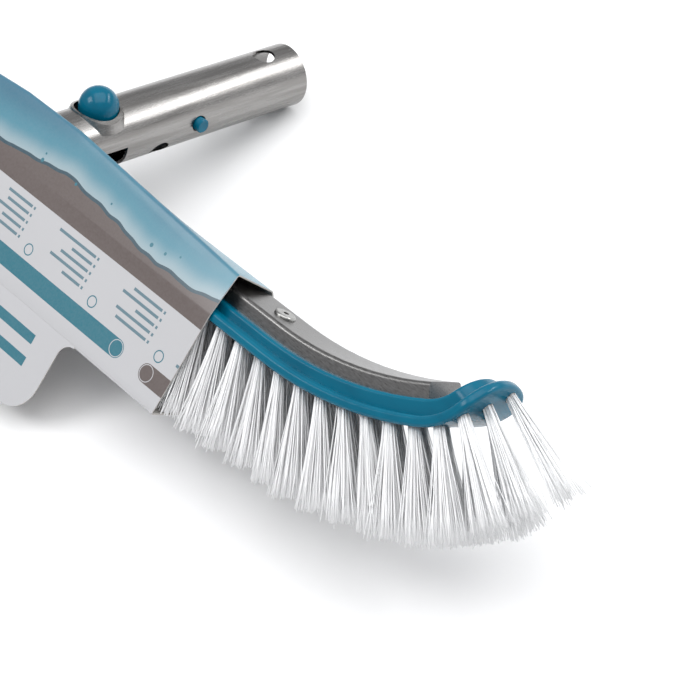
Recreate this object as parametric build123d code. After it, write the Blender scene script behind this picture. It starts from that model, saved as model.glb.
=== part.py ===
from build123d import *
import math
import os

# Pool wall brush, 500 mm wide, lying as it does on a floor: it rests on the far edge of its bristles
# (inside the card) and on the free end of its handle tube.  Millimetres and degrees.
# World frame: +X along the head, +Y from the head towards the tube's free end, +Z up.

# Driving dimensions: head
BACK_STRAIGHT = 146.0  # half length of the back's straight middle
BACK_RADIUS = 150.0  # radius of its outer face along each curved end
BACK_END_ANGLE = 28.1  # how far round that curve it reaches
BACK_HALF_WIDTH = 10.0
BACK_HEIGHT = 6.2
BACK_WALL = 1.3
BACK_CORNER = 1.6
BAR_HALF_WIDTH = 13.0
BAR_EDGE = 1.2
FLANGE_HALF_WIDTH = 18.0
FLANGE_TOP = -9.8
FLANGE_THICK = 4.2
FLANGE_EDGE = 1.5
FLANGE_STRAIGHT = 151.2
FLANGE_RADIUS = 159.8
FLANGE_SWEEP = 26.2  # where the flange's wide arc ends and the tip's tight one begins
TIP_RADIUS = 27.1  # of the flange's top, round the tip
TIP_CENTRE_ANGLE = 65.0  # where the half ellipse that ends the flange has its centre
TIP_AXIS_ANGLE = 78.0  # and the way that the ellipse faces
TIP_LENGTH = 12.6
TIP_STEP = 4.6  # how far the bar stops short of the flange's tip
TIP_SPARE = 110.0  # angle that the uncut bars are carried round to

# Driving dimensions: bristle tufts
ROW_SPACING = 8.8
TUFT_PITCH = 10.9
TUFT_ROOT_R = 2.1
TUFT_TIP_R = 4.5
TUFT_LENGTH = 40.0
TUFT_NECK = 1.6  # plain stretch outside the face before a tuft widens
HOLE_R = 2.25
HOLE_DEPTH = 3.0
ROOT_DEPTH = 2.8
ROW_LEAN = 2.0  # sideways lean of the inner rows; the outer rows lean three times as much
SWEEP_LEAN = 37.0  # lean along the head, away from its middle, of the tufts on the curve
SWEEP_LEAN_AT = 187.0  # developed distance from the middle where that lean is reached
SWEEP_LEAN_POWER = 1.8
TIP_LEAN = 37.0  # more lean, gained round the tip
TIP_LEAN_POWER = 1.5
ROW_END_MARGIN = 4.2

# Driving dimensions: handle tube
TUBE_R = 14.3
TUBE_WALL = 1.2
TUBE_REACH = 125.0  # free end to where the tube's axis meets the back's face
TUBE_ANGLE = 24.0  # tube against the back's face
NOTCH_AT = 102.3  # beyond this distance from the free end, only the tube's upper half goes on
SADDLE_FROM_Y = 20.0  # head side of this, nothing reaches below the back's outer face
SADDLE_END_Y = -9.5
EAR_OUT = 27.0
EAR_HALF = 8.0
EAR_LAP = 2.2  # how far an ear reaches under the tube's wall
EAR_CORNER = 4.0
END_HOLE_AT = 15.9
END_HOLE_R = 5.2
SIDE_HOLE_AT = 63.1
SIDE_HOLE_R = 3.75
DRAIN_HOLE_AT = 82.5
DRAIN_HOLE_R = 5.0
DRAIN_HOLE_TURN = 38.0  # below the side holes
COLLAR_AT = 109.2
COLLAR_R = 10.5  # at its top
COLLAR_FOOT_R = 13.2
COLLAR_FOOT = 8.0
COLLAR_TOP = 14.9
COLLAR_CROWN_R = 24.0  # its rim dips at the sides, on a cylinder of this radius
COLLAR_HOLE_R = 9.7

# Driving dimensions: lock inside the tube
HOUSING_R = 13.0
HOUSING_FRONT = 53.0
HOUSING_BACK = 117.5
HOUSING_CUT_AT = 84.0
HOUSING_CUT_Z = -1.0
DRAIN_POCKET_X = 4.0
TRAVEL = 5.0
PIN_RATIO = 0.6
PIN_R = 3.2
PIN_OUT = 17.1
PIN_IN = 3.5
PIN_FLAT_TO = 12.3
PIN_BORE_R = 3.3
PEG_X = 6.0
PEG_R = 1.2
SLOT_R = 1.3
PLATE_LOW = 0.4
PLATE_HIGH = 2.8
PLATE_HALF = 9.0
PLATE_FRONT = 60.0
FORK_ROOT = 100.0
FORK_END = 112.3
FORK_INNER = 6.2
FORK_OUTER = 8.2
PLAY = 0.2
BUTTON_AT = 108.2
BUTTON_R = 8.6
BUTTON_BORE_R = 8.8
DOME_BASE = 14.0
DOME_TOP = 23.2
SKIRT_LOW = 8.2
LEG_INNER = 4.0
LEG_OUTER = 5.8
LEG_HALF = 5.0
LEG_LOW = -0.1
STUB_R = 1.1
STUB_Z = 1.6
SPRING_R = 2.6
SPRING_WIRE = 0.35
SPRING_TOP = 17.0
SPRING_TURNS = 6

# Driving dimensions: rivets
RIVET_HEAD_R = 4.4
RIVET_SHANK_R = 2.0
RIVET_CORE_R = 1.2
RIVET_HEAD = 1.2
RIVET_TAIL = 1.4  # length of the pressed tail of the rivets through the ears
RIVET_TAIL_R = 2.9
RIVET_CORE_DEPTH = 1.2
RIVET_INTO_BODY = 3.0
RIVET_ROOM = 0.1
BACK_RIVET_X = (-140.0, -60.0, 60.0, 140.0)
EAR_RIVET_X = (-20.5, 20.5)

# Driving dimensions: card sleeve round the middle of the head, as (y, z) corners of its section
CARD = 0.6
SLEEVE_HALF = 122.0
RIDGE_EDGE = 7.0  # height of the near fold at the sleeve's open ends
RIDGE_MIDDLE = 15.0  # and beside the tube
RIDGE_X = 18.0
RIDGE_Y = -13.8
WAIST = (-19.4, -11.0)
NEAR_FOOT = (-26.0, -56.2)
FAR_FOOT = (24.0, -56.2)
FAR_WAIST = (20.2, -11.0)
FAR_TOP = (11.0, 1.0)
TAB_HALF = 67.0
TAB_LOW = -93.0
TAB_CORNER = 14.0
TUBE_ROOM = 0.7
TUBE_ROOM_FROM = -12.5  # the card's near face, head side of this, is left whole

os.makedirs("parts", exist_ok=True)
nodes = {}


class Track:
    """A line in the XZ plane that follows the head's right half: straight, then a wide arc upwards."""

    def __init__(self, straight, level, radius, sweep, tip=None):
        self.straight, self.level, self.radius, self.sweep = straight, level, radius, sweep
        self.centre = (straight, level + radius)
        self.tip_centre, self.tip_radius = tip or (None, None)

    def on_arc(self, angle, over):
        """Centre and radius of the arc at this angle, this far over the line."""
        if angle > self.sweep:
            return self.tip_centre, self.tip_radius - over
        return self.centre, self.radius - over

    def point(self, angle, over=0.0):
        """(x, z) where the curve has turned by this angle, this far over the line."""
        centre, r = self.on_arc(angle, over)
        turn = math.radians(angle)
        return centre[0] + r * math.sin(turn), centre[1] - r * math.cos(turn)

    def arc(self, start, stop, over):
        """The arc between two angles, which lie on the same one of the two arcs."""
        middle = self.point((start + stop) / 2, over)
        return ThreePointArc(self.point(start, over), middle, self.point(stop, over))

    def path(self, stop, over=0.0):
        """The line from the middle of the head to this angle."""
        edge = Line((0, self.level + over), (self.straight, self.level + over))
        edge += self.arc(0, min(stop, self.sweep), over)
        return edge + self.arc(self.sweep, stop, over) if stop > self.sweep else edge

    def turned_at(self, distance, over):
        """How far the curve has turned at this developed distance from the middle of the head."""
        angle = math.degrees((distance - self.straight) / (self.radius - over))
        if angle > self.sweep:
            left = distance - self.developed(self.sweep, over)
            angle = self.sweep + math.degrees(left / (self.tip_radius - over))
        return max(0.0, angle)

    def developed(self, angle, over):
        """Developed distance from the middle of the head to this angle."""
        distance = self.straight + math.radians(min(angle, self.sweep)) * (self.radius - over)
        return distance + math.radians(max(0.0, angle - self.sweep)) * ((self.tip_radius or 0) - over)

    def height_of(self, x, z):
        """How far a point of the right half is over the line."""
        if x < self.straight:
            return z - self.level
        across = (x - self.centre[0], self.centre[1] - z)
        if math.degrees(math.atan2(*across)) > self.sweep and self.tip_centre:
            across = (x - self.tip_centre[0], self.tip_centre[1] - z)
            return self.tip_radius - math.hypot(*across)
        return self.radius - math.hypot(*across)


back = Track(BACK_STRAIGHT, 0.0, BACK_RADIUS, 90.0)
flange_only = Track(FLANGE_STRAIGHT, FLANGE_TOP, FLANGE_RADIUS, FLANGE_SWEEP)
tip_centre = flange_only.point(FLANGE_SWEEP, TIP_RADIUS)
flange = Track(FLANGE_STRAIGHT, FLANGE_TOP, FLANGE_RADIUS, FLANGE_SWEEP, (tip_centre, TIP_RADIUS))
# The bar's top lies against the back's underside, and turns round the tip from where the two circles
# touch.
tip_from_back = (tip_centre[0] - back.centre[0], back.centre[1] - tip_centre[1])
bar_sweep = math.degrees(math.atan2(*tip_from_back))
bar_radius = BACK_RADIUS + BACK_HEIGHT
bar_tip_radius = bar_radius - math.hypot(*tip_from_back)
bar = Track(BACK_STRAIGHT, -BACK_HEIGHT, bar_radius, bar_sweep, (tip_centre, bar_tip_radius))


def both_sides(solid):
    return solid + solid.mirror(Plane.YZ)


def half_strip(top, bottom, end_angle, half_width):
    """The right half of a bar between two (track, height over it) lines."""
    starts = [(0, track.level + over) for track, over in (top, bottom)]
    ends = [track.point(end_angle, over) for track, over in (top, bottom)]
    outline = top[0].path(end_angle, top[1]) + bottom[0].path(end_angle, bottom[1])
    outline += Line(*starts) + Line(*ends)
    return extrude(Plane.XZ * make_face(outline), half_width, both=True)


def outline_edges(solid, track, over=0.0):
    """The edges that go round a bar, seen from above, at this height over a track."""
    picked = []
    for edge in solid.edges():
        middle = edge @ 0.5
        across = edge.geom_type == GeomType.LINE and abs((edge % 0.5).Y) > 0.9
        if abs(track.height_of(middle.X, middle.Z) - over) < 0.02 and not across:
            picked.append(edge)
    return picked


def round_tip(length, half_width, reach=60.0):
    """What a bar loses at its right-hand end for the end to be half an ellipse, seen from above."""
    x, z = flange.point(TIP_CENTRE_ANGLE)
    corner = Pos(reach / 2, 0, 0) * Box(reach, 2 * reach, reach)
    oval = extrude(Ellipse(length, half_width), reach, both=True)
    return Pos(x, 0, z) * Rot(0, -TIP_AXIS_ANGLE, 0) * (corner - oval)


def make_body():
    upper = half_strip((bar, 0), (flange, -0.5), TIP_SPARE, BAR_HALF_WIDTH)
    upper -= round_tip(TIP_LENGTH - TIP_STEP, BAR_HALF_WIDTH)
    upper = fillet(outline_edges(upper, bar), BAR_EDGE)
    lower = half_strip((flange, 0), (flange, -FLANGE_THICK), TIP_SPARE, FLANGE_HALF_WIDTH)
    lower -= round_tip(TIP_LENGTH, FLANGE_HALF_WIDTH)
    rims = outline_edges(lower, flange) + outline_edges(lower, flange, -FLANGE_THICK)
    lower = fillet(rims, FLANGE_EDGE)
    body = both_sides(upper + lower)
    for x in BACK_RIVET_X:
        body -= Pos(x, 0, -BACK_HEIGHT) * Cylinder(RIVET_SHANK_R + RIVET_ROOM, 2 * RIVET_INTO_BODY + 0.3)
    for place in tuft_places():
        body -= tuft_frame(*place) * Pos(0, 0, HOLE_DEPTH / 2 - 3) * Cylinder(HOLE_R, HOLE_DEPTH + 6)
    return body


def make_back():
    outer = half_strip((back, 0), (back, -BACK_HEIGHT), BACK_END_ANGLE, BACK_HALF_WIDTH)
    outer = fillet(outline_edges(outer, back), BACK_CORNER)
    inner_angle = BACK_END_ANGLE - math.degrees(BACK_WALL / BACK_RADIUS)
    inner = ((back, -BACK_WALL), (back, -BACK_HEIGHT - 1))
    cover = both_sides(outer - half_strip(*inner, inner_angle, BACK_HALF_WIDTH - BACK_WALL))
    for x in BACK_RIVET_X + EAR_RIVET_X:
        cover -= Pos(x, 0, 0) * Cylinder(RIVET_SHANK_R + RIVET_ROOM, 4 * BACK_WALL)
    return cover


def tuft_frame(along, row):
    """Frame at a tuft's root: local -z is the way the bristles point."""
    across = (row - 1.5) * ROW_SPACING
    side = (2 * row - 3) * ROW_LEAN
    s = abs(along)
    x, z = (s, FLANGE_TOP - FLANGE_THICK)
    if s > FLANGE_STRAIGHT:
        x, z = flange.point(flange.turned_at(s, -FLANGE_THICK), -FLANGE_THICK)
    round_tip_from = flange.developed(FLANGE_SWEEP, -FLANGE_THICK)
    tip_length = flange.developed(90.0, -FLANGE_THICK) - round_tip_from
    turn = SWEEP_LEAN * min(1.0, s / SWEEP_LEAN_AT) ** SWEEP_LEAN_POWER
    turn += TIP_LEAN * max(0.0, (s - round_tip_from) / tip_length) ** TIP_LEAN_POWER
    sign = math.copysign(1, along)
    return Pos(sign * x, across, z) * Rot(0, -sign * turn, 0) * Rot(side, 0, 0)


def tuft_places():
    """(distance along the head, row) of each tuft, neighbouring rows half a pitch apart."""
    centre = flange.developed(TIP_CENTRE_ANGLE, -FLANGE_THICK)
    long_room = TIP_LENGTH * (TIP_RADIUS + FLANGE_THICK) / TIP_RADIUS - ROW_END_MARGIN
    places = []
    for row in range(4):
        across = abs((row - 1.5) * ROW_SPACING) / (FLANGE_HALF_WIDTH - ROW_END_MARGIN)
        reach = centre + long_room * math.sqrt(1 - across**2)
        first = TUFT_PITCH / 2 if row % 2 == 0 else 0
        count = int((reach - first) / TUFT_PITCH) + 1
        steps = [first + k * TUFT_PITCH for k in range(count)]
        places += [(s, row) for s in sorted(set(steps + [-s for s in steps]))]
    return places


def make_tuft(along, row):
    root = Pos(0, 0, (ROOT_DEPTH - TUFT_NECK) / 2) * Cylinder(TUFT_ROOT_R, ROOT_DEPTH + TUFT_NECK)
    free = TUFT_LENGTH - TUFT_NECK
    fan = Pos(0, 0, -TUFT_NECK - free / 2) * Cone(TUFT_TIP_R, TUFT_ROOT_R, free)
    return tuft_frame(along, row) * (root + fan)


def make_tufts():
    for along, row in tuft_places():
        part = "middle" if abs(along) < BACK_STRAIGHT else "left" if along < 0 else "right"
        name = f"tufts_row{row + 1}_{part}"
        nodes.setdefault(name, []).append(make_tuft(along, row))


# The tube's own frame: x as the world's, y towards the free end, z towards the button.  Its origin
# is the middle of the free end.
TUBE_FRAME = Rot(TUBE_ANGLE, 0, 0) * Pos(0, TUBE_REACH, 0)


def along_tube(start, stop, radius, z=0.0, x=0.0):
    """A cylinder on the tube's axis between two distances from its free end."""
    return Pos(x, -(start + stop) / 2, z) * Rot(90, 0, 0) * Cylinder(radius, stop - start)


def across_tube(at, radius, half, turn=0.0):
    """A cylinder square to the tube's axis, from the axis outwards to +x, turned down from it."""
    outwards = Pos(half / 2, 0, 0) * Rot(0, 90, 0) * Cylinder(radius, half)
    return Pos(0, -at, 0) * Rot(0, turn, 0) * outwards


def box(x, y, z):
    """A box from (low, high) pairs."""
    middle = [sum(pair) / 2 for pair in (x, y, z)]
    return Pos(*middle) * Box(x[1] - x[0], y[1] - y[0], z[1] - z[0])


def make_tube():
    reach = TUBE_REACH + 40
    wide = 2 * EAR_OUT
    solid = along_tube(0, reach, TUBE_R)
    rise = COLLAR_TOP - COLLAR_FOOT
    collar = Pos(0, -COLLAR_AT, COLLAR_FOOT + rise / 2) * Cone(COLLAR_FOOT_R, COLLAR_R, rise)
    solid += collar & along_tube(0, reach, COLLAR_CROWN_R, COLLAR_TOP - COLLAR_CROWN_R)
    solid -= along_tube(-1, reach + 1, TUBE_R - TUBE_WALL)
    solid -= Pos(0, -COLLAR_AT, COLLAR_TOP / 2) * Cylinder(COLLAR_HOLE_R, COLLAR_TOP + 1)
    solid -= Pos(0, -END_HOLE_AT, 0) * Cylinder(END_HOLE_R, 3 * TUBE_R)
    for turn in (0, 180):
        solid -= across_tube(SIDE_HOLE_AT, SIDE_HOLE_R, 2 * TUBE_R, turn)
    solid -= across_tube(DRAIN_HOLE_AT, DRAIN_HOLE_R, 2 * TUBE_R, DRAIN_HOLE_TURN)
    solid -= box((-wide, wide), (-2 * reach, -NOTCH_AT), (-wide, 0))
    solid = TUBE_FRAME * solid
    solid -= box((-wide, wide), (-reach, SADDLE_END_Y), (-reach, reach))
    solid -= box((-wide, wide), (-reach, SADDLE_FROM_Y), (-reach, 0))
    bore = TUBE_FRAME * along_tube(-1, reach + 1, TUBE_R - TUBE_WALL)
    for side, x in zip((-1, 1), EAR_RIVET_X):
        inner, outer = side * (TUBE_R - EAR_LAP), side * EAR_OUT
        ear = box(sorted((inner, outer)), (SADDLE_END_Y, SADDLE_END_Y + 2 * EAR_HALF), (0, TUBE_WALL))
        corners = ear.edges().filter_by(Axis.Z).filter_by_position(Axis.X, outer - 1, outer + 1)
        solid += fillet(corners, EAR_CORNER) - bore
        solid -= Pos(x, 0, 0) * Cylinder(RIVET_SHANK_R + RIVET_ROOM, 6 * TUBE_WALL)
    return solid


def make_rivet(shank, tail):
    """A hollow rivet: head's underside at z 0, shank down from there, its lowest part pressed wide."""
    hang = (Align.CENTER, Align.CENTER, Align.MAX)
    head = Cylinder(RIVET_HEAD_R, RIVET_HEAD, align=(Align.CENTER, Align.CENTER, Align.MIN))
    rivet = fillet(head.edges().sort_by(Axis.Z)[-1], 0.8 * RIVET_HEAD)
    rivet += Cylinder(RIVET_SHANK_R, shank, align=hang)
    if tail:
        rivet += Pos(0, 0, tail - shank) * Cylinder(RIVET_TAIL_R, tail, align=hang)
    return rivet - Pos(0, 0, RIVET_HEAD) * Cylinder(RIVET_CORE_R, 2 * RIVET_CORE_DEPTH)


def make_housing():
    housing = along_tube(HOUSING_FRONT, HOUSING_BACK, HOUSING_R)
    under_button = (-HOUSING_BACK - 1, -HOUSING_CUT_AT)
    housing -= box((-HOUSING_R, HOUSING_R), under_button, (-HOUSING_R - 1, HOUSING_CUT_Z))
    plate_room = (-FORK_END - 3 * PLAY, -PLATE_FRONT + TRAVEL + PLAY)
    floor = PLATE_LOW - PLAY
    housing -= box((-PLATE_HALF - PLAY, PLATE_HALF + PLAY), plate_room, (floor, PLATE_HIGH + PLAY))
    housing -= Pos(0, -BUTTON_AT, floor + HOUSING_R) * Cylinder(BUTTON_BORE_R, 2 * HOUSING_R)
    leg_room = (-BUTTON_AT - LEG_HALF - PLAY, -BUTTON_AT + LEG_HALF + PLAY)
    drain = across_tube(DRAIN_HOLE_AT, DRAIN_HOLE_R, 2 * HOUSING_R, DRAIN_HOLE_TURN)
    for side, turn in ((1, 0), (-1, 180)):
        window = sorted((side * (LEG_INNER - PLAY), side * (LEG_OUTER + PLAY)))
        housing -= box(window, leg_room, (2 * HOUSING_CUT_Z, 2 * floor))
        housing -= across_tube(SIDE_HOLE_AT, PIN_BORE_R, 2 * HOUSING_R, turn)
    along = (-HOUSING_BACK, -HOUSING_FRONT)
    beside_core = box((DRAIN_POCKET_X, HOUSING_R), along, (-HOUSING_R, HOUSING_CUT_Z))
    return housing - (drain & beside_core)


def make_pin(side):
    middle = Pos((PIN_IN + PIN_OUT) / 2, -SIDE_HOLE_AT, 0)
    pin = middle * Rot(0, 90, 0) * Cylinder(PIN_R, PIN_OUT - PIN_IN)
    pin = chamfer(pin.edges().sort_by(Axis.X)[-1], 0.5)
    top = PLATE_LOW - PLAY
    pin -= box((0, PIN_FLAT_TO), (-SIDE_HOLE_AT - 5, -SIDE_HOLE_AT + 5), (top, 6))
    height = PLATE_HIGH - top
    pin += Pos(PEG_X, -SIDE_HOLE_AT, top + height / 2 - 0.5) * Cylinder(PEG_R, height + 1)
    return pin if side > 0 else pin.mirror(Plane.YZ)


def make_plate():
    height = (PLATE_LOW, PLATE_HIGH)
    plate = box((-PLATE_HALF, PLATE_HALF), (-FORK_ROOT, -PLATE_FRONT), height)
    slot_end = (PEG_X - PIN_RATIO * TRAVEL, -SIDE_HOLE_AT - TRAVEL)
    for side in (-1, 1):
        centre = Line((side * PEG_X, -SIDE_HOLE_AT), (side * slot_end[0], slot_end[1]))
        plate -= extrude(slot_face(centre, 2 * SLOT_R), 5, both=True)
        arm = box(sorted((side * FORK_INNER, side * FORK_OUTER)), (-FORK_END, -FORK_ROOT + 1), height)
        stub_x = sorted((side * (LEG_INNER - 0.1), side * (FORK_INNER + 0.5)))
        stub = Pos(sum(stub_x) / 2, -BUTTON_AT - TRAVEL / 2, STUB_Z) * Rot(0, 90, 0)
        plate += arm + stub * Cylinder(STUB_R, stub_x[1] - stub_x[0])
    return plate


def slot_face(line, width):
    """A round-ended slot about a straight line, as a face in the XY plane."""
    a, b = line @ 0, line @ 1
    turn = math.degrees(math.atan2(b.Y - a.Y, b.X - a.X))
    middle = (a + b) / 2
    return Pos(middle.X, middle.Y) * Rot(0, 0, turn) * SlotCenterToCenter((b - a).length, width)


def make_button():
    rise = DOME_TOP - DOME_BASE
    dome_r = (BUTTON_R**2 + rise**2) / (2 * rise)
    skirt = box((-BUTTON_R, BUTTON_R), (-BUTTON_R, BUTTON_R), (SKIRT_LOW, 2 * DOME_TOP))
    crown = Sphere(dome_r) + Pos(0, 0, -dome_r) * Cylinder(dome_r, 2 * dome_r)
    dome = skirt & Cylinder(BUTTON_R, 4 * DOME_TOP) & (Pos(0, 0, DOME_TOP - dome_r) * crown)
    dome -= Cylinder(SPRING_R + 0.7, 2 * SPRING_TOP)
    slot = Line((-TRAVEL / 2, STUB_Z), (TRAVEL / 2, STUB_Z + TRAVEL))
    slot = extrude(Plane.YZ * slot_face(slot, 2 * (STUB_R + 0.1)), 20, both=True)
    for side in (-1, 1):
        leg_x = sorted((side * LEG_INNER, side * LEG_OUTER))
        dome += box(leg_x, (-LEG_HALF, LEG_HALF), (LEG_LOW, SKIRT_LOW + 0.5)) - slot
    return Pos(0, -BUTTON_AT, 0) * dome


def make_spring():
    low = PLATE_LOW - PLAY + SPRING_WIRE + 0.02
    height = SPRING_TOP - low - SPRING_WIRE - 0.02
    path = Helix(height / SPRING_TURNS, height, SPRING_R)
    coil = sweep(Plane(path @ 0, z_dir=path % 0) * Circle(SPRING_WIRE), path)
    return Pos(0, -BUTTON_AT, low) * coil


def sleeve_section(x, ridge, inset):
    """Section of the card sleeve at x, shrunk by inset."""
    corners = [(RIDGE_Y, ridge), WAIST, NEAR_FOOT, FAR_FOOT, FAR_WAIST, FAR_TOP]
    face = Plane.YZ.offset(x) * make_face(Polyline(corners, close=True))
    return offset(face, -inset, kind=Kind.INTERSECTION).face() if inset else face


def make_sleeve():
    def hull(inset, spare):
        sections = [
            sleeve_section(x, ridge, inset)
            for x, ridge in (
                (-SLEEVE_HALF - spare, RIDGE_EDGE),
                (-RIDGE_X, RIDGE_MIDDLE),
                (RIDGE_X, RIDGE_MIDDLE),
                (SLEEVE_HALF + spare, RIDGE_EDGE),
            )
        ]
        return loft(sections, ruled=True)

    sleeve = hull(0, 0) - hull(CARD, 0.01)
    slope = (NEAR_FOOT[0] - WAIST[0]) / (NEAR_FOOT[1] - WAIST[1])
    lean = math.degrees(math.atan(slope))
    tab = RectangleRounded(2 * TAB_HALF, 2 * (NEAR_FOOT[1] - TAB_LOW), TAB_CORNER)
    tab = extrude(Plane.XZ * tab, CARD / 2, both=True) & Pos(0, 0, -100) * Box(400, 50, 200)
    thick = CARD / 2 / math.cos(math.radians(lean))
    sleeve += Pos(0, NEAR_FOOT[0] + thick, NEAR_FOOT[1] + CARD) * Rot(-lean, 0, 0) * tab
    room = along_tube(-50, TUBE_REACH + 14, TUBE_R + TUBE_ROOM)
    room += Pos(0, -COLLAR_AT, 30) * Cylinder(COLLAR_FOOT_R - 1 + TUBE_ROOM, 60)
    far_side = box((-SLEEVE_HALF, SLEEVE_HALF), (TUBE_ROOM_FROM, 300), (-300, 300))
    return sleeve - (TUBE_FRAME * room & far_side)


def rest_turn():
    """The turn about X that sets the tube's free end and the card's far foot on one level."""
    end = TUBE_FRAME * Pos(0, 0, -TUBE_R)
    tilt = math.degrees(math.atan2(end.position.Z - FAR_FOOT[1], end.position.Y - FAR_FOOT[0]))
    return Rot(-tilt, 0, 0)


nodes["brush_body"] = make_body()
nodes["aluminium_back"] = make_back()
make_tufts()
nodes["handle_tube"] = make_tube()
back_shank = BACK_HEIGHT + RIVET_INTO_BODY
ear_shank = TUBE_WALL + BACK_WALL + RIVET_TAIL
nodes["back_rivets"] = [Pos(x, 0, 0) * make_rivet(back_shank, 0) for x in BACK_RIVET_X]
nodes["ear_rivets"] = [Pos(x, 0, TUBE_WALL) * make_rivet(ear_shank, RIVET_TAIL) for x in EAR_RIVET_X]
nodes["lock_housing"] = TUBE_FRAME * make_housing()
nodes["push_button"] = TUBE_FRAME * make_button()
nodes["draw_plate"] = TUBE_FRAME * make_plate()
nodes["lock_pin_right"] = TUBE_FRAME * make_pin(1)
nodes["lock_pin_left"] = TUBE_FRAME * make_pin(-1)
nodes["button_spring"] = TUBE_FRAME * make_spring()
nodes["card_sleeve"] = make_sleeve()

turned = rest_turn()
solids = {}
for name, shape in nodes.items():
    items = shape if isinstance(shape, list) else [shape]
    solids[name] = [turned * solid for item in items for solid in item.solids()]
boxes = [solid.bounding_box() for group in solids.values() for solid in group]
low_y = min(b.min.Y for b in boxes)
high_y = max(b.max.Y for b in boxes)
shift = Pos(0, -(low_y + high_y) / 2, -min(b.min.Z for b in boxes))
for name, group in solids.items():
    export_step(Compound([shift * solid for solid in group]), f"parts/{name}.step")
print("turn", turned.orientation, "shift", shift.position)
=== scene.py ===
import math

import bmesh
import bpy
import numpy as np
from mathutils import Matrix, Vector


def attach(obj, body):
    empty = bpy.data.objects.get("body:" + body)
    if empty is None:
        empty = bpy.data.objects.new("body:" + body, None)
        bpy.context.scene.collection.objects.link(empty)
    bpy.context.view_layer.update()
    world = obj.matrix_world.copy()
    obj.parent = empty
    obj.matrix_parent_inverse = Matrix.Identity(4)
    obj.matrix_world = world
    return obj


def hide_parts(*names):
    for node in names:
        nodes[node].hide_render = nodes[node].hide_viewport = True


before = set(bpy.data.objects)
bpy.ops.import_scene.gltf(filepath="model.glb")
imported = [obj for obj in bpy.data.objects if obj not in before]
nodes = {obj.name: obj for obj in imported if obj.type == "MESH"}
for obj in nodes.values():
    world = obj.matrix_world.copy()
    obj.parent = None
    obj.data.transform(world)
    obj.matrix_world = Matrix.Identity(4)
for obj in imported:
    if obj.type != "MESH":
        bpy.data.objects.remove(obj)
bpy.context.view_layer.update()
MM = 0.001

# Driving dimensions repeated from the CAD, in its millimetres and degrees
TURN = math.radians(-44.3875)  # the head's lean about X as the brush lies
SHIFT = np.array([0.0, -17.721, 56.950])
TUBE_ANGLE = math.radians(24.0)
TUBE_REACH = 125.0
FLANGE_TOP = -9.8
FLANGE_THICK = 4.2
FLANGE_HALF_WIDTH = 18.0
FLANGE_STRAIGHT = 151.2
FLANGE_RADIUS = 159.8
FLANGE_SWEEP = math.radians(26.2)
TIP_RADIUS = 27.1
TIP_CENTRE_ANGLE = math.radians(65.0)
TIP_LENGTH = 12.6
ROWS = 4
ROW_MIDDLE = (ROWS - 1) / 2
ROW_SPACING = 8.8
TUFT_PITCH = 10.9
ROW_END_MARGIN = 4.2
ROW_LEAN = 2.0
SWEEP_LEAN = 37.0
SWEEP_LEAN_AT = 187.0
SWEEP_LEAN_POWER = 1.8
TIP_LEAN = 37.0
TIP_LEAN_POWER = 1.5
MIDDLE_HALF = 146.0  # tufts nearer the head's middle than this are in its middle nodes
COLLAR_AT = 109.2

# Bristles, in millimetres and, for leans, radians
SEED = 7
FILAMENTS = 72
FILAMENT_R = 0.26
FILAMENT_SIDES = 4
FILAMENT_RINGS = 6
FILAMENT_LENGTH = 42.0
TUFT_R = 1.95
TUFT_SPREAD = 8.6
ROOT_DEPTH = 2.0
LEAN_JITTER = 0.022
SIDE_JITTER = 0.02
TIP_JITTER = 0.85
BOW_JITTER = 0.75
LENGTH_JITTER = 0.75
REACH_LOW, REACH_HIGH = 0.5, 1.12  # how much of the spread each filament takes
SPREAD_POWER = 1.25
TAPER = 0.82
RING_START = (0.0, 1.0, 0.3)  # a direction that no filament runs along
SHADE_SHAPE = (2.2, 1.4)
LIFT = 0.1  # nothing of the bristles lies lower than this over the floor
CARD_ROOM = 0.35  # between the card's inner face and the bristles' edges

# Card sleeve: corners of its section as (y, z, corner radius), under a ridge that falls to its ends
CARD = 0.6
SLEEVE_HALF = 122.0
RIDGE_EDGE = 7.0
RIDGE_MIDDLE = 15.0
RIDGE_X = 18.0
RIDGE_Y = -13.8
RIDGE_CORNER = 1.4
NEAR_WAIST = (-19.4, -11.0, 6.0)
NEAR_FOOT = (-26.0, -56.2, 1.2)
FAR_FOOT = (24.0, -56.2, 1.2)
FAR_WAIST = (20.2, -11.0, 3.0)
FAR_TOP = (11.0, 1.0, 2.5)
STATIONS = 83
CUT_LENGTH = 3.0
SAG = 0.22
SAG_WAVE_X, SAG_WAVE_Z = 31.0, 17.0
SAG_TOP, SAG_LOW = -14, -54
TUBE_ROOM_R = 15.0
TUBE_ROOM_FROM = 20
TUBE_ROOM_PAST = 8
COLLAR_ROOM_R = 11.6
COLLAR_ROOM_LONG = 40
TAB_HALF = 67.0
TAB_LOW = -93.0
TAB_CORNER = 14.0
TAB_CORNER_POINTS = 11
TAB_NECK = 6.0
TAB_NECK_POINTS = 9
TAB_ROOT = 1.0  # how far the tab reaches up the near side from its foot

# Card print: colours, then places in head-local millimetres
AQUA_DEEP = (0.018, 0.125, 0.200)
AQUA = (0.045, 0.200, 0.275)
AQUA_PALE = (0.27, 0.36, 0.40)
WATERLINE = (0.002, 0.040, 0.065)
TAUPE = (0.085, 0.062, 0.057)
PANEL = (0.46, 0.46, 0.475)
INK = (0.0, 0.125, 0.175)
INK_PALE = (0.09, 0.17, 0.21)
FIBRE_TINT = 0.10
FRONT_Y = RIDGE_Y - 1.0  # the bars, dots and rings are only on the card's near side
WAVE_Z = -8.0
WAVE_RATE = 0.052
WAVE_SWING = 2.6
WAVE_WANDER = 5.0
FADE = (0.0, 9.0)
DEEPEN = (8.0, 20.0)
WATERLINE_BAND = (-0.9, 0.5)
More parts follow.
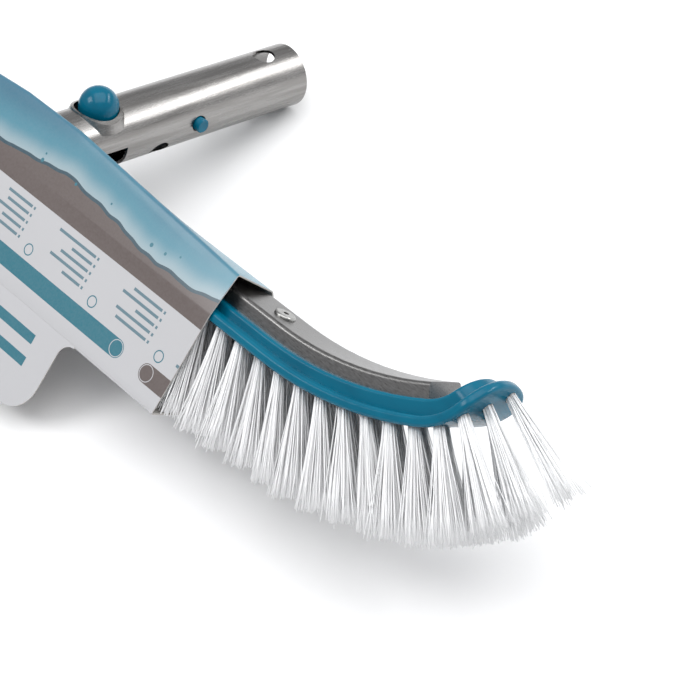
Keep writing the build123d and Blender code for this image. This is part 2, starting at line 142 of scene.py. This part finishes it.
# x, z, radius and pitch of each row of dots
PICTURE_DOTS = [(31, -3.5, 0.7, 57), (52, -1.0, 0.5, 43), (80, -4.0, 0.9, 71)]
PANEL_TOP = -18.0
BLOCK_RIGHT = 104.0
BLOCK_PITCH = 42.0
LINE_TOP = -20.0
LINE_PITCH = 3.3
LINE_BAND = (0.30, 0.68)  # the inked share of each line's pitch
LINES = 5
DOT_BAND = (0.5, 1.6)
BAR_START = 2.6
BAR_END = 20.0
BAR_UNEVEN = 6.0
RING_X = BLOCK_RIGHT + 7.0
RING_Z = LINE_TOP - 16.5
RING_R = 2.3
RING_LINE = 0.25
STRIPE_Z = -44.8
STRIPE_R = 3.9
STRIPE_RING_INSET = 0.5
STRIPE_RING_LINE = 0.16
FIRST_STRIPE = 95.0 - STRIPE_R  # where each stripe's straight run ends
SECOND_STRIPE = 106.0 + STRIPE_R
TAB_LINE_TOP = -60.0
TAB_LINE_PITCH = 9.5
TAB_LINE_BAND = (0.22, 0.66)
TAB_LINES = 3
TAB_BAR_HALF = 36.0
TAB_BAR_UNEVEN = 20.0

# Camera, fitted to the photograph: degrees, metres, and millimetres of lens
CAMERA_AZIMUTH = 54.8626
CAMERA_ELEVATION = 50.0835
CAMERA_ROLL = -10.0377
CAMERA_PLACE = (0.57734, -0.29833, 0.65074)
CAMERA_LENS = 106.03
CAMERA_SENSOR = 36
CAMERA_CLIP = 0.05

# Lights: name, direction from the object, distance and size in metres, watts
LIGHTS = [
    ("key", (-0.45, -0.55, 1.0), 1.6, (0.8, 0.6), 10),
    ("strip", (0.376, 0.817, 0.438), 1.5, (1.3, 0.12), 8),
    ("top", (0.15, 0.25, 1.0), 2.0, (2.2, 2.2), 34),
]
LIGHT_TARGET = (0.05, 0, 0.03)
WORLD_COLOR = (0.97, 0.98, 1.0)
WORLD_STRENGTH = 0.55
FLOOR_HALF = 6

# Where smoothed noise mostly lies, and the steepest edge that is shaded smooth
NOISE_LOW, NOISE_HIGH = 0.3, 0.7
SMOOTH_UNDER = math.radians(32)
CARD_SMOOTH_UNDER = math.radians(40)


# ---------------------------------------------------------------- places
def head(points):
    """Metres from head-local millimetres: x along the head, y to the tube, z out of the back."""
    p = np.atleast_2d(np.asarray(points, float))
    y = p[:, 1] * math.cos(TURN) - p[:, 2] * math.sin(TURN)
    z = p[:, 1] * math.sin(TURN) + p[:, 2] * math.cos(TURN)
    return (np.stack([p[:, 0], y, z], 1) + SHIFT) * MM


def tube(points):
    """Metres from tube-local millimetres: x, distance from the free end, height to the button."""
    p = np.atleast_2d(np.asarray(points, float))
    y = TUBE_REACH - p[:, 1]
    return head(np.stack([
        p[:, 0],
        y * math.cos(TUBE_ANGLE) - p[:, 2] * math.sin(TUBE_ANGLE),
        y * math.sin(TUBE_ANGLE) + p[:, 2] * math.cos(TUBE_ANGLE),
    ], 1))


def new_object(name, mesh):
    obj = bpy.data.objects.new(name, mesh)
    bpy.context.scene.collection.objects.link(obj)
    return obj


def make_camera():
    a, e, r = (math.radians(v) for v in (CAMERA_AZIMUTH, CAMERA_ELEVATION, CAMERA_ROLL))
    back = Vector((math.sin(a) * math.cos(e), -math.cos(a) * math.cos(e), math.sin(e)))
    level = Vector((math.cos(a), math.sin(a), 0))
    up = back.cross(level)
    right = math.cos(r) * level + math.sin(r) * up
    up = back.cross(right)
    camera = bpy.data.objects.new("camera", bpy.data.cameras.new("camera"))
    camera.data.lens = CAMERA_LENS
    camera.data.sensor_width = CAMERA_SENSOR
    camera.data.clip_start = CAMERA_CLIP
    turn = Matrix((right, up, back)).transposed().to_4x4()
    camera.matrix_world = Matrix.Translation(CAMERA_PLACE) @ turn
    bpy.context.scene.collection.objects.link(camera)
    bpy.context.scene.camera = camera


# ---------------------------------------------------------------- materials
class Shader:
    """A material and short ways to add and join its nodes."""

    def __init__(self, name, **values):
        self.material = bpy.data.materials.new(name)
        self.material.use_nodes = True
        self.tree = self.material.node_tree
        self.surface = self.tree.nodes["Principled BSDF"]
        for key, value in values.items():
            self.surface.inputs[key.replace("_", " ")].default_value = value

    def put(self, value, socket):
        if isinstance(value, bpy.types.NodeSocket):
            self.tree.links.new(value, socket)
        elif isinstance(value, tuple) and len(value) == 3 and len(socket.default_value) == 4:
            socket.default_value = (*value, 1)
        else:
            socket.default_value = value

    def math(self, operation, *values):
        node = self.tree.nodes.new("ShaderNodeMath")
        node.operation = operation
        for value, socket in zip(values, node.inputs):
            self.put(value, socket)
        return node.outputs[0]

    def inside(self, value, low, high):
        over = self.math("GREATER_THAN", value, low)
        return self.both(over, self.math("LESS_THAN", value, high))

    def both(self, *values):
        return self.math("MULTIPLY", *values)

    def spread(self, noise, start=0.0, stop=1.0):
        """Noise, which stays near its middle, stretched over a whole range."""
        return self.ramp(noise, NOISE_LOW, NOISE_HIGH, start, stop)

    def ramp(self, value, low, high, start=0.0, stop=1.0):
        node = self.tree.nodes.new("ShaderNodeMapRange")
        node.interpolation_type = "SMOOTHSTEP"
        for item, socket in zip((value, low, high, start, stop), node.inputs):
            self.put(item, socket)
        return node.outputs[0]

    def mix(self, factor, a, b):
        node = self.tree.nodes.new("ShaderNodeMix")
        node.data_type = "RGBA"
        self.put(factor, node.inputs[0])
        self.put(a, node.inputs[6])
        self.put(b, node.inputs[7])
        return node.outputs[2]

    def noise(self, vector, scale, detail=3.0, rough=0.5):
        node = self.tree.nodes.new("ShaderNodeTexNoise")
        self.put(vector, node.inputs["Vector"])
        node.inputs["Scale"].default_value = scale
        node.inputs["Detail"].default_value = detail
        node.inputs["Roughness"].default_value = rough
        return node.outputs[0]

    def local(self, angle, origin, stretch=(1, 1, 1)):
        """Millimetres in a frame turned by this angle about X, from an origin in metres."""
        node = self.tree.nodes.new("ShaderNodeTexCoord")
        back = Matrix.Rotation(-angle, 3, "X")
        move = self.tree.nodes.new("ShaderNodeVectorMath")
        move.operation = "SUBTRACT"
        self.put(node.outputs["Object"], move.inputs[0])
        move.inputs[1].default_value = tuple(origin)
        turn = self.tree.nodes.new("ShaderNodeMapping")
        turn.inputs["Rotation"].default_value = back.to_euler()
        self.put(move.outputs[0], turn.inputs["Vector"])
        size = self.tree.nodes.new("ShaderNodeVectorMath")
        size.operation = "MULTIPLY"
        self.put(turn.outputs[0], size.inputs[0])
        size.inputs[1].default_value = tuple(v / MM for v in stretch)
        return size.outputs[0]

    def head_local(self, stretch=(1, 1, 1)):
        return self.local(TURN, head([0, 0, 0])[0], stretch)

    def tube_local(self, stretch=(1, 1, 1)):
        return self.local(TURN + TUBE_ANGLE, tube([0, 0, 0])[0], stretch)

    def split(self, vector):
        node = self.tree.nodes.new("ShaderNodeSeparateXYZ")
        self.put(vector, node.inputs[0])
        return node.outputs

    def bump(self, height, distance, strength=0.5):
        node = self.tree.nodes.new("ShaderNodeBump")
        node.inputs["Strength"].default_value = strength
        node.inputs["Distance"].default_value = distance
        self.put(height, node.inputs["Height"])
        self.put(node.outputs[0], self.surface.inputs["Normal"])

    def color(self, value):
        self.put(value, self.surface.inputs["Base Color"])

    def rough(self, value):
        self.put(value, self.surface.inputs["Roughness"])


def brushed_tube():
    """Drawn aluminium: fine lines along the tube, and a cloudy film over them."""
    s = Shader("tube_aluminium", Metallic=1.0)
    lines = s.noise(s.tube_local((1.0, 0.02, 1.0)), scale=2.6, detail=4.0, rough=0.65)
    fine = s.noise(s.tube_local((1.0, 0.05, 1.0)), scale=7.0, detail=2.0)
    streak = s.noise(s.tube_local((1.0, 0.06, 1.0)), scale=0.45)
    s.color(s.mix(s.spread(streak), (0.225, 0.2175, 0.21), (0.30, 0.2925, 0.285)))
    s.rough(s.math("ADD", s.spread(streak, 0.20, 0.25), s.both(fine, 0.07)))
    s.bump(s.math("ADD", lines, s.both(fine, 0.5)), distance=0.00003)
    return s.material


def satin_back():
    """Extruded aluminium: satin, with faint lines along the head and a mottled grain."""
    s = Shader("back_aluminium", Metallic=1.0)
    grain = s.noise(s.head_local((0.25, 1.0, 1.0)), scale=1.7, detail=4.0, rough=0.6)
    lines = s.noise(s.head_local((0.02, 1.0, 1.0)), scale=3.0, detail=2.0)
    s.color(s.mix(s.spread(grain), (0.155, 0.152, 0.15), (0.215, 0.212, 0.21)))
    s.rough(s.spread(grain, 0.27, 0.37))
    s.bump(s.math("ADD", grain, lines), distance=0.00005)
    return s.material


def pressed_rivet():
    s = Shader("rivet_metal", Metallic=1.0)
    grain = s.noise(s.head_local(), scale=1.3)
    s.color(s.mix(grain, (0.28, 0.28, 0.27), (0.42, 0.42, 0.41)))
    s.rough(s.spread(grain, 0.26, 0.42))
    s.bump(grain, distance=0.00004)
    return s.material


def spring_wire():
    s = Shader("spring_steel", Metallic=1.0)
    grain = s.noise(s.tube_local(), scale=2.0)
    s.color(s.mix(grain, (0.42, 0.42, 0.42), (0.6, 0.6, 0.6)))
    s.rough(s.spread(grain, 0.2, 0.35))
    return s.material


def gloss_plastic(name, dark, light, rough):
    """Moulded plastic: a gloss skin with slow flow marks and faint orange peel."""
    s = Shader(name, Coat_Weight=0.03, Coat_Roughness=0.06, IOR=1.3)
    flow = s.noise(s.head_local((0.4, 1.0, 1.0)), scale=0.11, detail=2.0)
    peel = s.noise(s.head_local(), scale=0.7, detail=2.0)
    s.color(s.mix(s.spread(flow), dark, light))
    s.rough(s.spread(peel, rough, rough + 0.07))
    s.bump(peel, distance=0.00006, strength=0.35)
    return s.material


# Near-black plastic: painted shade, standing in for the shadow seen through the drain hole and in
# the gap round the button
def shade_dark_plastic():
    s = Shader("lock_plastic", IOR=1.49)
    grain = s.noise(s.tube_local(), scale=2.2, detail=4.0)
    s.color(s.mix(grain, (0.012, 0.014, 0.017), (0.035, 0.038, 0.042)))
    s.rough(s.spread(grain, 0.5, 0.68))
    s.bump(grain, distance=0.00008)
    return s.material


def filament_plastic():
    """White nylon, a little brighter in some filaments than in others."""
    s = Shader("bristles", IOR=1.5)
    shade = s.tree.nodes.new("ShaderNodeAttribute")
    shade.attribute_name = "shade"
    streak = s.noise(s.head_local(), scale=0.35, detail=2.0)
    tone = s.math("ADD", s.both(shade.outputs["Fac"], 0.75), s.both(streak, 0.25))
    s.color(s.mix(tone, (0.86, 0.865, 0.875), (0.97, 0.97, 0.975)))
    s.rough(s.spread(streak, 0.28, 0.42))
    return s.material


def inner_card():
    s = Shader("card_inside")
    fibre = s.noise(s.head_local(), scale=1.1, detail=5.0, rough=0.6)
    s.color(s.mix(fibre, (0.42, 0.40, 0.38), (0.62, 0.60, 0.57)))
    s.rough(s.spread(fibre, 0.75, 0.9))
    s.bump(fibre, distance=0.00005)
    return s.material


def printed_card():
    """Plain printing in place of the pack's own: a fade, a wave, stripes, bars, dots and rings."""
    s = Shader("printed_card", IOR=1.5, Coat_Weight=0.25, Coat_Roughness=0.15)
    x, y, z = s.split(s.head_local())[:3]
    fibre = s.noise(s.head_local(), scale=0.9, detail=5.0, rough=0.6)
    front = s.math("LESS_THAN", y, FRONT_Y)

    def disc(cx, cz, radius, pitch=None):
        """How far outside a circle, or the nearest of a row of them, each place is."""
        across = s.math("SUBTRACT", x, cx)
        if pitch:
            turns = s.math("ROUND", s.math("DIVIDE", across, pitch))
            across = s.math("SUBTRACT", across, s.both(turns, pitch))
        down = s.math("SUBTRACT", z, cz)
        square = s.math("ADD", s.both(across, across), s.both(down, down))
        return s.math("SUBTRACT", s.math("SQRT", square), radius)

    def printed(under, where, ink):
        return s.mix(s.both(front, where), under, ink)

    # The fade over its wave, with a few dots
    wander = s.noise(s.head_local((0.06, 0.0, 0.0)), scale=1.0, detail=1.0)
    swing = s.both(s.math("SINE", s.both(x, WAVE_RATE)), WAVE_SWING)
    wave = s.math("ADD", s.math("ADD", swing, s.both(wander, WAVE_WANDER)), WAVE_Z)
    above = s.math("SUBTRACT", z, wave)
    water = s.mix(s.ramp(above, *FADE), AQUA_PALE, AQUA)
    water = s.mix(s.ramp(above, *DEEPEN), water, AQUA_DEEP)
    picture = s.mix(s.math("GREATER_THAN", above, 0.0), TAUPE, water)
    picture = s.mix(s.inside(above, *WATERLINE_BAND), picture, WATERLINE)
    for cx, cz, radius, pitch in PICTURE_DOTS:
        picture = printed(picture, s.math("LESS_THAN", disc(cx, cz, radius, pitch), 0), INK)

    # Blocks of uneven bars with a dot before each, and a ring below each block
    block = s.math("DIVIDE", s.math("SUBTRACT", BLOCK_RIGHT, x), BLOCK_PITCH)
    which = s.math("FLOOR", block)
    left = s.both(s.math("SUBTRACT", block, which), BLOCK_PITCH)
    row = s.math("DIVIDE", s.math("SUBTRACT", LINE_TOP, z), LINE_PITCH)
    line = s.math("FLOOR", row)
    in_line = s.inside(s.math("SUBTRACT", row, line), *LINE_BAND)
    in_rows = s.both(s.inside(line, -0.5, LINES - 0.5), in_line)
    uneven = s.math("SINE", s.math("ADD", s.both(line, 2.3), s.both(which, 1.7)))
    length = s.math("ADD", BAR_END, s.both(uneven, BAR_UNEVEN))
    bar = s.both(s.math("GREATER_THAN", left, BAR_START), s.math("LESS_THAN", left, length))
    dot = s.inside(left, *DOT_BAND)
    panel = printed(PANEL, s.both(in_rows, s.math("ADD", bar, dot)), INK_PALE)
    ring = s.math("ABSOLUTE", disc(RING_X, RING_Z, RING_R, BLOCK_PITCH))
    panel = printed(panel, s.math("LESS_THAN", ring, RING_LINE), INK)

    # Two stripes with round ends, and a fine ring in each end
    beside = s.inside(s.math("SUBTRACT", z, STRIPE_Z), -STRIPE_R, STRIPE_R)
    stripes = ((FIRST_STRIPE, "LESS_THAN", INK), (SECOND_STRIPE, "GREATER_THAN", TAUPE))
    for end_x, side, ink in stripes:
        run = s.both(beside, s.math(side, x, end_x))
        end = s.math("LESS_THAN", disc(end_x, STRIPE_Z, STRIPE_R), 0)
        panel = printed(panel, s.math("MAXIMUM", run, end), ink)
    for end_x in (FIRST_STRIPE, SECOND_STRIPE):
        ring = s.math("ABSOLUTE", disc(end_x, STRIPE_Z, STRIPE_R - STRIPE_RING_INSET))
        panel = printed(panel, s.math("LESS_THAN", ring, STRIPE_RING_LINE), PANEL)

    # Three bars of uneven length on the tab
    row = s.math("DIVIDE", s.math("SUBTRACT", TAB_LINE_TOP, z), TAB_LINE_PITCH)
    line = s.math("FLOOR", row)
    in_line = s.inside(s.math("SUBTRACT", row, line), *TAB_LINE_BAND)
    in_rows = s.both(in_line, s.inside(line, -0.5, TAB_LINES - 0.5))
    uneven = s.both(s.math("SINE", s.math("ADD", 1.0, line)), TAB_BAR_UNEVEN)
    reach = s.math("ADD", TAB_BAR_HALF, uneven)
    bar = s.both(in_rows, s.math("LESS_THAN", s.math("ABSOLUTE", x), reach))
    panel = printed(panel, bar, INK)

    print_all = s.mix(s.math("LESS_THAN", z, PANEL_TOP), picture, panel)
    s.color(s.mix(s.both(fibre, FIBRE_TINT), print_all, (0.5, 0.5, 0.5)))
    s.rough(s.spread(fibre, 0.34, 0.46))
    s.bump(fibre, distance=0.00004, strength=0.4)
    return s.material


def paint(node, material):
    mesh = nodes[node].data
    mesh.materials.clear()
    mesh.materials.append(material)
    mesh.shade_smooth()
    mesh.set_sharp_from_angle(angle=SMOOTH_UNDER)


# ---------------------------------------------------------------- bristles
def face_place(distance):
    """(x, z, lean) in the head's frame at this distance measured along the bristle face."""
    wide = FLANGE_RADIUS + FLANGE_THICK
    tight = TIP_RADIUS + FLANGE_THICK
    sweep_end = FLANGE_STRAIGHT + FLANGE_SWEEP * wide
    x, z = distance, FLANGE_TOP - FLANGE_THICK
    if distance > sweep_end:
        turn = FLANGE_SWEEP + (distance - sweep_end) / tight
        cx = FLANGE_STRAIGHT + (FLANGE_RADIUS - TIP_RADIUS) * math.sin(FLANGE_SWEEP)
        cz = FLANGE_TOP + FLANGE_RADIUS - (FLANGE_RADIUS - TIP_RADIUS) * math.cos(FLANGE_SWEEP)
        x, z = cx + tight * math.sin(turn), cz - tight * math.cos(turn)
    elif distance > FLANGE_STRAIGHT:
        turn = (distance - FLANGE_STRAIGHT) / wide
        x = FLANGE_STRAIGHT + wide * math.sin(turn)
        z = FLANGE_TOP + FLANGE_RADIUS - wide * math.cos(turn)
    tip = (math.pi / 2 - FLANGE_SWEEP) * tight
    lean = SWEEP_LEAN * min(1.0, distance / SWEEP_LEAN_AT) ** SWEEP_LEAN_POWER
    lean += TIP_LEAN * max(0.0, (distance - sweep_end) / tip) ** TIP_LEAN_POWER
    return x, z, math.radians(lean)


def tuft_places():
    """(distance along the bristle face, row) of each tuft, as the CAD has them."""
    wide = FLANGE_RADIUS + FLANGE_THICK
    tight = TIP_RADIUS + FLANGE_THICK
    centre = FLANGE_STRAIGHT + FLANGE_SWEEP * wide + (TIP_CENTRE_ANGLE - FLANGE_SWEEP) * tight
    long_room = TIP_LENGTH * tight / TIP_RADIUS - ROW_END_MARGIN
    places = []
    for row in range(ROWS):
        across = abs((row - ROW_MIDDLE) * ROW_SPACING) / (FLANGE_HALF_WIDTH - ROW_END_MARGIN)
        reach = centre + long_room * math.sqrt(1 - across**2)
        first = TUFT_PITCH / 2 if row % 2 == 0 else 0
        count = int((reach - first) / TUFT_PITCH) + 1
        steps = [first + k * TUFT_PITCH for k in range(count)]
        places += [(s, row) for s in sorted(set(steps + [-s for s in steps]))]
    return places


def inside_card(points):
    """The same points, with those along the card's length kept off its walls and its foot."""
    room = CARD + FILAMENT_R + CARD_ROOM
    x, y, z = points[..., 0], points[..., 1], points[..., 2]
    heights = [NEAR_FOOT[1], NEAR_WAIST[1]]
    near = np.interp(z, heights, [NEAR_FOOT[0], NEAR_WAIST[0]]) + room
    far = np.interp(z, heights, [FAR_FOOT[0], FAR_WAIST[0]]) - room
    held = np.abs(x) < SLEEVE_HALF + room
    y = np.where(held, np.clip(y, near, far), y)
    z = np.where(held, np.maximum(z, NEAR_FOOT[1] + room), z)
    return np.stack([x, y, z], -1)


def tuft_lines(rng, distance, row):
    """Centre lines of one tuft's filaments, in the head's frame: filaments × rings × 3."""
    x, z, lean = face_place(abs(distance))
    side = math.radians(2 * (row - ROW_MIDDLE) * ROW_LEAN) + rng.normal(0, SIDE_JITTER)
    lean += rng.normal(0, LEAN_JITTER)
    sign = math.copysign(1, distance)
    angle = rng.uniform(0, 2 * math.pi, FILAMENTS)
    out = TUFT_R * np.sqrt(rng.uniform(0, 1, FILAMENTS))
    root = np.stack([out * np.cos(angle), out * np.sin(angle)], 1)
    tip = root * (TUFT_SPREAD / TUFT_R) * rng.uniform(REACH_LOW, REACH_HIGH, (FILAMENTS, 1))
    tip += rng.normal(0, TIP_JITTER, root.shape)
    bow = rng.normal(0, BOW_JITTER, root.shape)
    length = FILAMENT_LENGTH + rng.normal(0, LENGTH_JITTER, FILAMENTS)
    t = np.linspace(0, 1, FILAMENT_RINGS)[None, :, None]
    spread = t ** SPREAD_POWER
    flat = root[:, None] * (1 - spread) + tip[:, None] * spread
    flat += bow[:, None] * np.sin(math.pi * t) * t
    down = ROOT_DEPTH - t[..., 0] * (length[:, None] + ROOT_DEPTH)
    local = np.concatenate([flat, down[..., None]], 2)
    turn = Matrix.Rotation(-sign * lean, 3, "Y") @ Matrix.Rotation(side, 3, "X")
    place = np.array([sign * x, (row - ROW_MIDDLE) * ROW_SPACING, z])
    return inside_card(local @ np.array(turn).T + place)


def filament_mesh(name, lines, shades):
    """Closed rods along centre lines, four-sided and slightly tapered."""
    lines = np.asarray(lines)
    count, rings = lines.shape[:2]
    along = np.gradient(lines, axis=1)
    along /= np.linalg.norm(along, axis=2, keepdims=True)
    one = np.cross(along, np.array(RING_START))
    one /= np.linalg.norm(one, axis=2, keepdims=True)
    two = np.cross(along, one)
    around = np.arange(FILAMENT_SIDES) * 2 * math.pi / FILAMENT_SIDES
    radius = FILAMENT_R * np.linspace(1.0, TAPER, rings)[None, :, None, None]
    ring = one[:, :, None] * np.cos(around)[:, None] + two[:, :, None] * np.sin(around)[:, None]
    points = lines[:, :, None] + ring * radius
    vertices = head(points.reshape(-1, 3))
    vertices[:, 2] = np.maximum(vertices[:, 2], LIFT * MM)
    index = np.arange(count * rings * FILAMENT_SIDES).reshape(count, rings, FILAMENT_SIDES)
    ahead = np.roll(index, -1, axis=2)
    walls = np.stack([index[:, :-1], ahead[:, :-1], ahead[:, 1:], index[:, 1:]], -1)
    caps = np.concatenate([index[:, 0, ::-1], index[:, -1]])
    faces = np.concatenate([walls.reshape(-1, 4), caps])
    mesh = bpy.data.meshes.new(name)
    mesh.from_pydata(vertices.tolist(), [], faces.tolist())
    shade = mesh.attributes.new("shade", "FLOAT", "POINT")
    shade.data.foreach_set("value", np.repeat(shades, rings * FILAMENT_SIDES).astype(np.float32))
    mesh.shade_smooth()
    return mesh


def make_bristles(material):
    rng = np.random.default_rng(SEED)
    groups = {}
    for distance, row in tuft_places():
        part = "middle" if abs(distance) < MIDDLE_HALF else "left" if distance < 0 else "right"
        groups.setdefault(f"tufts_row{row + 1}_{part}", []).append(tuft_lines(rng, distance, row))
    for node, tufts in groups.items():
        lines = np.concatenate(tufts)
        name = node.replace("tufts", "bristles")
        piece = new_object(name, filament_mesh(name, lines, rng.beta(*SHADE_SHAPE, len(lines))))
        piece.data.materials.append(material)
        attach(piece, "brush")
        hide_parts(node)


# ---------------------------------------------------------------- card
def rounded(corners, steps=5):
    """A closed polygon with each (y, z, radius) corner turned into an arc."""
    points = []
    corners = [(np.array(c[:2]), c[2]) for c in corners]
    befores, afters = corners[-1:] + corners[:-1], corners[1:] + corners[:1]
    for (before, _), (here, radius), (after, _) in zip(befores, corners, afters):
        a, b = (before - here), (after - here)
        a, b = a / np.linalg.norm(a), b / np.linalg.norm(b)
        half = math.acos(np.clip(a @ b, -1, 1)) / 2
        reach = radius / math.tan(half)
        middle = here + (a + b) / np.linalg.norm(a + b) * radius / math.sin(half)
        start, stop = here + a * reach - middle, here + b * reach - middle
        sweep = math.atan2(start[0] * stop[1] - start[1] * stop[0], start @ stop)
        for k in range(steps + 1):
            c, s = math.cos(sweep * k / steps), math.sin(sweep * k / steps)
            points.append(middle + [start[0] * c - start[1] * s, start[0] * s + start[1] * c])
    return np.array(points)


def sleeve_section(x):
    fall = min(1.0, max(0.0, (abs(x) - RIDGE_X) / (SLEEVE_HALF - RIDGE_X)))
    ridge = RIDGE_MIDDLE + (RIDGE_EDGE - RIDGE_MIDDLE) * fall
    top = (RIDGE_Y, ridge, RIDGE_CORNER)
    return rounded([top, NEAR_WAIST, NEAR_FOOT, FAR_FOOT, FAR_WAIST, FAR_TOP])


def sleeve_skin():
    """The sleeve's outer face, open at both ends, with its long flats slightly wavy."""
    end = sleeve_section(SLEEVE_HALF)
    lengths = np.linalg.norm(np.roll(end, -1, axis=0) - end, axis=1)
    sides = [max(1, round(length / CUT_LENGTH)) for length in lengths]
    rings = []
    for x in np.linspace(-SLEEVE_HALF, SLEEVE_HALF, STATIONS):
        section = sleeve_section(x)
        ring = []
        for a, b, cuts in zip(section, np.roll(section, -1, axis=0), sides):
            ring += [a + (b - a) * k / cuts for k in range(cuts)]
        ring = np.array(ring)
        y, z = ring.T
        sag = SAG * np.sin(x / SAG_WAVE_X + z / SAG_WAVE_Z) * (z < SAG_TOP) * (z > SAG_LOW)
        rings.append(np.column_stack([np.full(len(ring), x), y + sag, z]))
    count = len(rings[0])
    index = np.arange(len(rings) * count).reshape(len(rings), count)
    ahead = np.roll(index, -1, axis=1)
    faces = np.stack([index[:-1], ahead[:-1], ahead[1:], index[1:]], -1).reshape(-1, 4)
    mesh = bpy.data.meshes.new("card")
    mesh.from_pydata(head(np.concatenate(rings)).tolist(), [], faces.tolist())
    return mesh


def tab_outline():
    """(x, z) of the tab on the near foot: hollow corners at its neck and round ones below."""
    right = [(TAB_HALF + TAB_NECK, NEAR_FOOT[1] + TAB_ROOT)]
    for a in np.linspace(0, math.pi / 2, TAB_NECK_POINTS):
        x = TAB_HALF + TAB_NECK * (1 - math.sin(a))
        right.append((x, NEAR_FOOT[1] - TAB_NECK * (1 - math.cos(a))))
    for a in np.linspace(0, math.pi / 2, TAB_CORNER_POINTS):
        x = TAB_HALF - TAB_CORNER * (1 - math.cos(a))
        right.append((x, TAB_LOW + TAB_CORNER * (1 - math.sin(a))))
    return [(-x, z) for x, z in right] + right[::-1]


def tab_mesh():
    slope = (NEAR_FOOT[0] - NEAR_WAIST[0]) / (NEAR_FOOT[1] - NEAR_WAIST[1])
    outline = [(x, NEAR_FOOT[0] + slope * (z - NEAR_FOOT[1]), z) for x, z in tab_outline()]
    mesh = bpy.data.meshes.new("tab")
    mesh.from_pydata(head(outline).tolist(), [], [list(range(len(outline)))])
    return mesh


def apply(obj):
    """Turns an object's modifiers into its mesh."""
    graph = bpy.context.evaluated_depsgraph_get()
    mesh = bpy.data.meshes.new_from_object(obj.evaluated_get(graph))
    obj.modifiers.clear()
    obj.data = mesh


def rod(name, start, stop, radius, sides=64):
    """A closed cylinder between two points in metres."""
    mesh = bpy.data.meshes.new(name)
    shape = bmesh.new()
    start, stop = Vector(start), Vector(stop)
    turn = (stop - start).to_track_quat("Z", "Y").to_matrix().to_4x4()
    bmesh.ops.create_cone(
        shape, cap_ends=True, segments=sides, radius1=radius * MM, radius2=radius * MM,
        depth=(stop - start).length, matrix=Matrix.Translation((start + stop) / 2) @ turn,
    )
    shape.to_mesh(mesh)
    shape.free()
    return new_object(name, mesh)


def make_card(outside, inside):
    """The folded card as one piece: its tab, and its sleeve with room for the tube and collar."""
    card = new_object("printed_card_sleeve", sleeve_skin())
    tab = new_object("tab", tab_mesh())
    for piece in (card, tab):
        piece.data.materials.append(outside)
        piece.data.materials.append(inside)
        wall = piece.modifiers.new("wall", "SOLIDIFY")
        wall.thickness = CARD * MM
        wall.offset = -1
        wall.material_offset = 1
        wall.material_offset_rim = 1
    outer, inner, low, high = tube([
        [0, TUBE_ROOM_FROM, 0], [0, TUBE_REACH + TUBE_ROOM_PAST, 0],
        [0, COLLAR_AT, 0], [0, COLLAR_AT, COLLAR_ROOM_LONG],
    ])
    cutters = [
        rod("tube_room", outer, inner, TUBE_ROOM_R),
        rod("collar_room", low, high, COLLAR_ROOM_R),
    ]
    for cutter in cutters:
        cut = card.modifiers.new("cut", "BOOLEAN")
        cut.operation = "DIFFERENCE"
        cut.object = cutter
        cut.solver = "EXACT"
    apply(card)
    apply(tab)
    for cutter in cutters:
        bpy.data.objects.remove(cutter)
    shape = bmesh.new()
    shape.from_mesh(card.data)
    shape.from_mesh(tab.data)
    shape.to_mesh(card.data)
    shape.free()
    bpy.data.objects.remove(tab)
    card.data.shade_smooth()
    card.data.set_sharp_from_angle(angle=CARD_SMOOTH_UNDER)
    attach(card, "brush")
    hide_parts("card_sleeve")


# ---------------------------------------------------------------- floor and light
def make_floor():
    s = Shader("floor", Roughness=0.9)
    cloud = s.noise(s.head_local(), scale=0.01, detail=2.0)
    s.color(s.mix(cloud, (0.88, 0.88, 0.885), (0.91, 0.91, 0.91)))
    mesh = bpy.data.meshes.new("floor")
    corners = [(-1, -1), (1, -1), (1, 1), (-1, 1)]
    mesh.from_pydata([(x * FLOOR_HALF, y * FLOOR_HALF, 0) for x, y in corners], [], [(0, 1, 2, 3)])
    floor = new_object("floor", mesh)
    mesh.materials.append(s.material)


def area_light(name, direction, distance, size, watts):
    light = bpy.data.lights.new(name, "AREA")
    light.shape = "RECTANGLE"
    light.size, light.size_y = size
    light.energy = watts
    obj = new_object(name, light)
    d = Vector(direction).normalized()
    obj.location = Vector(LIGHT_TARGET) + d * distance
    obj.rotation_euler = d.to_track_quat("Z", "Y").to_euler()


def make_light():
    for light in LIGHTS:
        area_light(*light)
    world = bpy.data.worlds.new("world")
    bpy.context.scene.world = world
    world.use_nodes = True
    background = world.node_tree.nodes["Background"]
    background.inputs["Color"].default_value = (*WORLD_COLOR, 1)
    background.inputs["Strength"].default_value = WORLD_STRENGTH
    bpy.context.scene.view_settings.view_transform = "Standard"


# ---------------------------------------------------------------- the scene
make_camera()
make_floor()
make_light()
blue = gloss_plastic("blue_plastic", (0.0, 0.100, 0.170), (0.0, 0.122, 0.200), 0.20)
teal = gloss_plastic("teal_plastic", (0.0, 0.095, 0.160), (0.0, 0.115, 0.190), 0.16)
for node, finish in (
    ("handle_tube", brushed_tube()),
    ("aluminium_back", satin_back()),
    ("button_spring", spring_wire()),
    ("brush_body", blue),
    ("push_button", teal),
    ("lock_pin_left", teal),
    ("lock_pin_right", teal),
):
    paint(node, finish)
rivet = pressed_rivet()
paint("back_rivets", rivet)
paint("ear_rivets", rivet)
# The lock housing and draw plate are painted near-black as shade for the drain hole and the gap
# round the button
dark = shade_dark_plastic()
paint("lock_housing", dark)
paint("draw_plate", dark)
make_bristles(filament_plastic())
make_card(printed_card(), inner_card())
